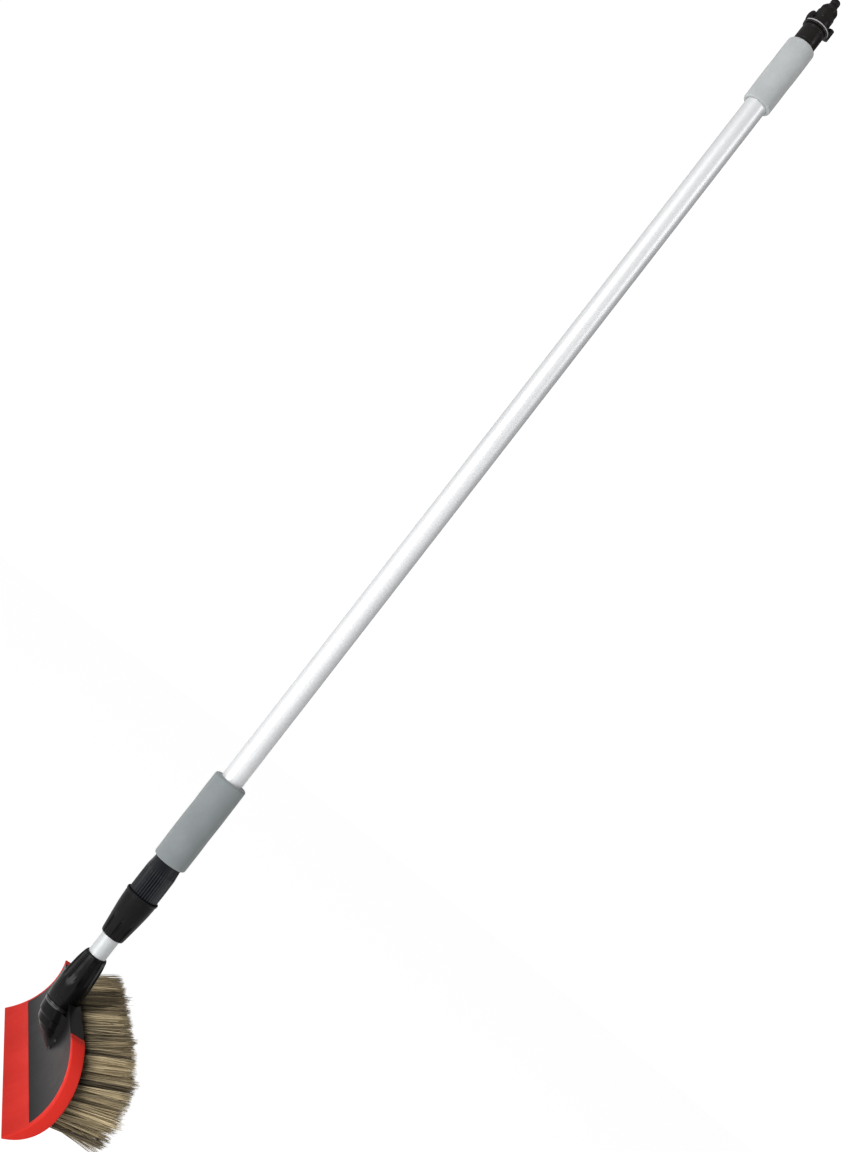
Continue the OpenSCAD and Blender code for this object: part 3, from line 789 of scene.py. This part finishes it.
def shell():
    """Black shell in the hollow back, with its flat rear wall and a round notch for the socket."""
    skin, recess, wall = 3.0, 0.12, 2.4
    notch_r, notch_height, notch_gap = 18.6, 40, 0.3
    count, cols = 44, 72
    face, back = [], []
    for i in range(count + 1):
        s = STRIP + 0.1 + (REAR - STRIP - 0.1) * i / count
        face.append(on_back(0, level_angle(s, recess), recess)[1:])
        back.append(on_back(0, level_angle(s, skin, REAR_Z - wall), skin)[1:])
    out = RIM - 0.3
    y_in, y_out = face[-1][0], on_back(0, level_angle(REAR, out), out)[1]
    y_under = on_back(0, level_angle(REAR, out, REAR_Z - wall), out)[1]
    tail = [
        (y_in - 0.35, REAR_Z - 0.1), (y_in - 0.9, REAR_Z), (y_out + 0.9, REAR_Z),
        (y_out + 0.25, REAR_Z - 0.25), (y_out, REAR_Z - 0.8), (y_under, REAR_Z - wall),
    ]
    face[-1] = (face[-1][0] + 0.05, REAR_Z - 0.5)
    section = face + tail + back[::-1]
    n = len(section)
    verts, faces = [], ring_faces(cols, n)
    for c in range(cols + 1):
        for y, z in section:
            verts.append(((2 * c / cols - 1) * half_width(min(z, REAR_Z), BAND + 0.05), y, z))
    for start in (0, cols * n):
        for k in range(count):
            faces.append((start + k, start + k + 1, start + n - 2 - k, start + n - 1 - k))
        faces.append(tuple(start + k for k in range(count, count + len(tail) + 2)))
    o = piece(
        "shell_skin", verts, faces, "black_plastic", "brush_head", "head_shell", mat=SHELL_MATERIAL
    )
    bm = bmesh.new()
    bmesh.ops.create_cone(
        bm, segments=96, cap_ends=True, radius1=notch_r * MM, radius2=notch_r * MM, depth=notch_height * MM,
        matrix=Matrix.Translation((0, 0, (NUT_LOW - notch_gap + notch_height / 2) * MM)),
    )
    knife_mesh = bpy.data.meshes.new("knife")
    bm.to_mesh(knife_mesh)
    bm.free()
    knife = bpy.data.objects.new("knife", knife_mesh)
    bpy.context.collection.objects.link(knife)
    cut = o.modifiers.new("notch", "BOOLEAN")
    cut.operation, cut.object, cut.solver = "DIFFERENCE", knife, "EXACT"
    result = bpy.data.meshes.new_from_object(o.evaluated_get(bpy.context.evaluated_depsgraph_get()))
    o.modifiers.clear()
    o.data = result
    result.shade_smooth()
    result.set_sharp_from_angle(angle=math.radians(32))
    bpy.data.objects.remove(knife)


shell()


def between(x, pairs):
    """Value at x on straight lines through the pairs."""
    for (a, p), (b, q) in zip(pairs, pairs[1:]):
        if x <= b:
            t = (x - a) / (b - a)
            return p + (q - p) * t
    return pairs[-1][1]


def smooth_union(a, b, width):
    """The lesser of two distances, with a fillet of about the given width where they are equal."""
    t = min(1.0, max(0.0, 0.5 + 0.5 * (b - a) / width))
    return b + (a - b) * t - width * t * (1 - t)


def socket():
    """Boss that bends from the pole down into the hollow back, with a wide fillet where they meet. The
    near-black flare is partly the real fillet and partly painted shade for the boss's contact shadow on the
    hollow face.
    """
    top, length, steps = seam_low - 0.3, 41.0, 160
    arc, halvings, farthest = 44, 26, 60.0
    reach_x, sink, skirt, least_height = 24.0, 0.3, 1.5, 0.4
    # Y of the boss's crest, and half its width, by the distance down from the top.
    crest = [
        (-2, 15.6), (0, 15.5), (8, 14.6), (10.2, 14.1), (11.2, 12.7), (18.6, 10.2), (19.8, 8.6),
        (22.4, 6.5), (26.7, 0.9), (31.8, -6.1), (36.8, -13.1), (43, -21.7),
    ]
    # The wide waist and fillet low down spread the near-black boss over its contact shadow on the hollow
    # face: partly real shape, partly painted shade.
    waist = [
        (-2, 15.5), (0, 15.5), (10.2, 16.4), (11.2, 15.9), (18.6, 17.0), (19.8, 16.5), (43, 17.0),
    ]
    rings = []
    for i in range(steps + 1):
        down = length * i / steps
        z = top - down
        hollow = BACK_Y - math.sqrt(BACK_R ** 2 - (z - BACK_Z) ** 2)
        near = [-0.7 + 0.35 * k for k in range(5)]
        height = sum(between(down + k, crest) for k in near) / len(near) - hollow
        width = sum(between(down + k, waist) for k in near) / len(near)
        width *= max(0.02, 1 - (max(0.0, down - 26) / 13.5) ** 3) ** (1 / 3)
        centre = max(0.0, height - width)
        fillet = min(0.8 + 6.0 * smooth_step(down, 0, 12), 0.3 + 0.8 * max(height, 0.0))
        power = 2 + 0.6 * smooth_step(down, 8, 24)

        def outside(x, h):
            """Distance out of the boss at x and height h over the hollow face, below 0 inside."""
            if height < least_height:
                return h + sink
            tall = height - centre
            spread = ((abs(x) / width) ** power + (max(h - centre, 0.0) / tall) ** power) ** (1 / power)
            body = (spread - 1) * min(width, tall)
            return smooth_union(body, h + sink, fillet)

        middle = min(centre + 1.0, height * 0.4) if height > 0.5 else -sink - 0.4
        last = math.atan2(-sink - middle, reach_x)
        half = []
        for k in range(arc + 1):
            t = math.pi / 2 + (last - math.pi / 2) * k / arc
            near_t, far_t = 0.0, farthest
            for _ in range(halvings):
                mid_t = (near_t + far_t) / 2
                if outside(mid_t * math.cos(t), middle + mid_t * math.sin(t)) < 0:
                    near_t = mid_t
                else:
                    far_t = mid_t
            half.append((min(near_t * math.cos(t), reach_x), hollow + middle + near_t * math.sin(t), z))
        half.append((reach_x, hollow - skirt, z))
        rings.append(half + [(-x, y, z) for x, y, z in half[:0:-1]])
    count = len(rings[0])
    verts = [p for ring in rings for p in ring]
    piece(
        "socket_boss", verts, capped_faces(steps, count), "black_plastic", "brush_head", "head_socket",
        sharp=60, mat=GLOSS_MATERIAL,
    )


socket()
stem_low, stem_high = seam_low - 0.5, node_z("head_socket")[1]
turned(
    "socket_stem",
    rounded([
        (STEM_R, stem_high), (STEM_R, stem_low), (INNER_R + 0.05, stem_low), (INNER_R + 0.05, stem_high),
    ], 0.4),
    "black_plastic", "brush_head", "head_socket",
)

# ---------------------------------------------------------------- bristles

BLOCK_R = BACK_R + RIM - 0.5
BLOCK_FRONT, BLOCK_REAR = STRIP + 0.4, 25.0
ROWS, SUB_ROWS, PITCH, STRANDS = 5, 3, 6.4, 22
ROW_HALF_MAX = 117.0
TUFT_R, STRAND_R = 1.8, (0.3, 0.46)
# Spread of the strands in a tuft, in degrees. A share of those in the first row is messy.
SPREAD, MESSY_SPREAD, MESSY_SHARE = 0.95, 3.8, 0.25
# The strands are cut off at about this level, just past the CAD bristles.
TRIM_Y = cad_low[1] / MM - 1.5


def lean(a):
    """Tilt of the tufts at angle a, in degrees."""
    return 18 + 0.46 * a - 0.004 * a * a


def reach(a):
    """Length of the tufts at angle a."""
    return 61 - 0.351 * a - 0.00356 * a * a


def strand(rng, verts, faces, tones, alongs, root, direction, bend, length, r, tone):
    """Adds one tapered three-sided filament to the row's lists."""
    side = direction.cross(Vector((0.31, 0.2, 1))).normalized()
    up = direction.cross(side).normalized()
    twist = rng.uniform(0, ANY_ANGLE)
    wave, phase = rng.gauss(0, 0.22), rng.uniform(0, ANY_ANGLE)
    rings, sides, taper, tip = 6, 3, 0.35, 0.28
    base = len(verts)
    for i in range(rings):
        t = i / (rings - 1)
        sway = side * (wave * math.sin(phase + 7 * t) * t)
        centre = root + direction * (length * t) + bend * (t * t) + sway
        q = r * (1 - taper * t) if i < rings - 1 else r * tip
        for k in range(sides):
            a = twist + 2 * math.pi * k / sides
            verts.append(tuple((centre + side * (q * math.cos(a)) + up * (q * math.sin(a))) * MM))
            tones.append(tone)
            alongs.append(t)
    for i in range(rings - 1):
        for k in range(sides):
            a, b = base + i * sides + k, base + i * sides + (k + 1) % sides
            faces.append((a, b, b + sides, a + sides))
    faces.append(tuple(base + k for k in reversed(range(sides))))
    faces.append(tuple(base + (rings - 1) * sides + k for k in range(sides)))


def bristle_row(index):
    """Loose filaments of one row, in tufts on three lines. The order of the random draws matters."""
    rng = random.Random(100 + index)
    step = (BLOCK_REAR - 1 - BLOCK_FRONT) / ROWS
    start = BLOCK_FRONT + 0.6 + (index - 1) * step
    verts, faces, tones, alongs = [], [], [], []
    for sub in range(SUB_ROWS):
        a0 = start + (step - 0.5) * (sub + 0.5) / SUB_ROWS
        z0 = BACK_Z + BLOCK_R * math.sin(math.radians(a0))
        half = min(ROW_HALF_MAX, half_width(z0) - BAND - 4) - (2.0 if index < 4 else 5.0)
        count = max(2, round(2 * half / PITCH))
        for c in range(count + 1):
            x0 = -half + 2 * half * (c + (0.5 if sub == 1 else 0) * (c < count)) / count
            shade = rng.gauss(0.5, 0.2)
            tilt_x, tilt_a = rng.gauss(0, 2.4), rng.gauss(0, 2.6)
            size = rng.gauss(1.0, 0.028)
            edge = abs(x0) / half
            for _ in range(STRANDS):
                rr, rt = TUFT_R * math.sqrt(rng.random()), rng.uniform(0, 2 * math.pi)
                x = x0 + rr * math.cos(rt)
                a = a0 + math.degrees(rr * math.sin(rt) / BLOCK_R)
                messy = index == 1 and rng.random() < MESSY_SHARE
                spread = MESSY_SPREAD if messy else SPREAD
                angle = math.radians(lean(a) + tilt_a + rng.gauss(0, spread) + 0.8 * math.sin(rt) * rr)
                out = math.radians(
                    tilt_x + rng.gauss(0, spread) + 1.0 * math.cos(rt) * rr
                    + math.copysign(3.5 * edge ** 4, x0)
                )
                flat = math.cos(out)
                d = Vector((math.sin(out), -math.cos(angle) * flat, math.sin(angle) * flat))
                y, z = on_back(0, a, RIM - 0.7)[1:]
                bend = Vector((rng.gauss(0, 0.9), 0, rng.gauss(-0.4, 0.9)))
                length = reach(a) * size * (1 + rng.gauss(0, 0.022)) * (1 - 0.03 * edge ** 6)
                length = min(length, (TRIM_Y - y) / d.y)
                tone = min(1.0, max(0.0, shade + rng.gauss(0, 0.2)))
                r = rng.uniform(*STRAND_R)
                strand(rng, verts, faces, tones, alongs, Vector((x, y, z)), d, bend, length, r, tone)
    me = bpy.data.meshes.new(f"bristles_{index}")
    me.from_pydata(verts, [], faces)
    for name, values in (("tone", tones), ("along", alongs)):
        me.attributes.new(name, "FLOAT", "POINT").data.foreach_set("value", values)
    me.shade_smooth()
    add_piece(f"bristles_{index}", me, "bristles", "brush_head", [f"bristle_row_{index}"])


for row_index in range(1, ROWS + 1):
    bristle_row(row_index)

# ---------------------------------------------------------------- camera, light, floor


def camera():
    """The photograph's view: from the -X side, below the middle of the pole and rolled."""
    eye = (-1.40376, 0.40286, -0.26838)
    data = bpy.data.cameras.new("camera")
    data.lens = 43.75
    cam = bpy.data.objects.new("camera", data)
    bpy.context.collection.objects.link(cam)
    azimuth, elevation, roll = math.radians(-106.9986), math.radians(-3.9738), math.radians(37.7454)
    back = Vector((
        math.sin(azimuth) * math.cos(elevation),
        -math.cos(azimuth) * math.cos(elevation),
        math.sin(elevation),
    ))
    turn = back.to_track_quat("Z", "Y").to_matrix() @ Matrix.Rotation(roll, 3, "Z")
    cam.matrix_world = Matrix.Translation(eye) @ turn.to_4x4()
    data.clip_start, data.clip_end = 0.01, 60.0
    bpy.context.scene.camera = cam


camera()


def lamp(name, where, target, size, power):
    """Area light of size (width, height) metres and power watts, aimed at target."""
    data = bpy.data.lights.new(name, "AREA")
    data.shape = "RECTANGLE"
    data.size, data.size_y = size
    data.energy = power
    o = bpy.data.objects.new(name, data)
    bpy.context.collection.objects.link(o)
    where, target = Vector(where), Vector(target)
    aim = (target - where).to_track_quat("-Z", "Y").to_matrix().to_4x4()
    o.matrix_world = Matrix.Translation(where) @ aim


lamp("key", (-1.3, 2.3, -0.1), (0, 0, -0.4), (1.2, 1.8), 46)
lamp("hose_end_light", (-1.7, -1.5, 1.2), (0, 0, 0.45), (0.7, 0.9), 15)
lamp("front", (-2.6, 0.1, -0.1), (0, 0, -0.1), (0.35, 2.4), 7)
lamp("head_light", (-1.2, 1.5, 0.1), (0, 0, -0.78), (0.6, 0.6), 9)


def sky(dim=0.10, bright=0.50, backdrop=1.05):
    """Soft light that grows from -Y to +Y. The camera itself sees an even, near white backdrop."""
    world = bpy.data.worlds.new("world")
    bpy.context.scene.world = world
    world.use_nodes = True
    new, join = world.node_tree.nodes.new, world.node_tree.links.new
    soft = world.node_tree.nodes["Background"]
    soft.inputs["Color"].default_value = (1, 1, 1, 1)
    where = new("ShaderNodeTexCoord")
    parts = new("ShaderNodeSeparateXYZ")
    fade = new("ShaderNodeMapRange")
    fade.inputs["From Min"].default_value = -0.8
    fade.inputs["From Max"].default_value = 0.9
    fade.inputs["To Min"].default_value = dim
    fade.inputs["To Max"].default_value = bright
    join(where.outputs["Generated"], parts.inputs[0])
    join(parts.outputs["Y"], fade.inputs["Value"])
    join(fade.outputs["Result"], soft.inputs["Strength"])
    plain = new("ShaderNodeBackground")
    plain.inputs["Color"].default_value = (1, 1, 1, 1)
    plain.inputs["Strength"].default_value = backdrop
    path = new("ShaderNodeLightPath")
    pick = new("ShaderNodeMixShader")
    join(path.outputs["Is Camera Ray"], pick.inputs[0])
    join(soft.outputs[0], pick.inputs[1])
    join(plain.outputs[0], pick.inputs[2])
    join(pick.outputs[0], world.node_tree.nodes["World Output"].inputs["Surface"])


sky()
bpy.context.scene.view_settings.view_transform = "Standard"

FLOOR_R, FLOOR_SIDES, FLOOR_GAP = 14, 64, 0.004
# The floor lies below the brush when the pole is pulled out to its full length.
joints = frame["record"]["behaviour"]["joints"]
pole_travel = max(joint["range_m"][1] for joint in joints if "range_m" in joint)
floor_z = cad_low[2] - pole_travel - FLOOR_GAP
angles = [2 * math.pi * i / FLOOR_SIDES for i in range(FLOOR_SIDES)]
disc = [(FLOOR_R * math.cos(a), FLOOR_R * math.sin(a), floor_z) for a in angles]
paper = material(
    "floor_paper", (0.93, 0.93, 0.93), 0.9, Emission_Color=(1, 1, 1, 1), Emission_Strength=0.72
)
me = bpy.data.meshes.new("floor")
me.from_pydata(disc, [], [tuple(range(FLOOR_SIDES))])
me.materials.append(paper)
floor = bpy.data.objects.new("floor", me)
bpy.context.collection.objects.link(floor)
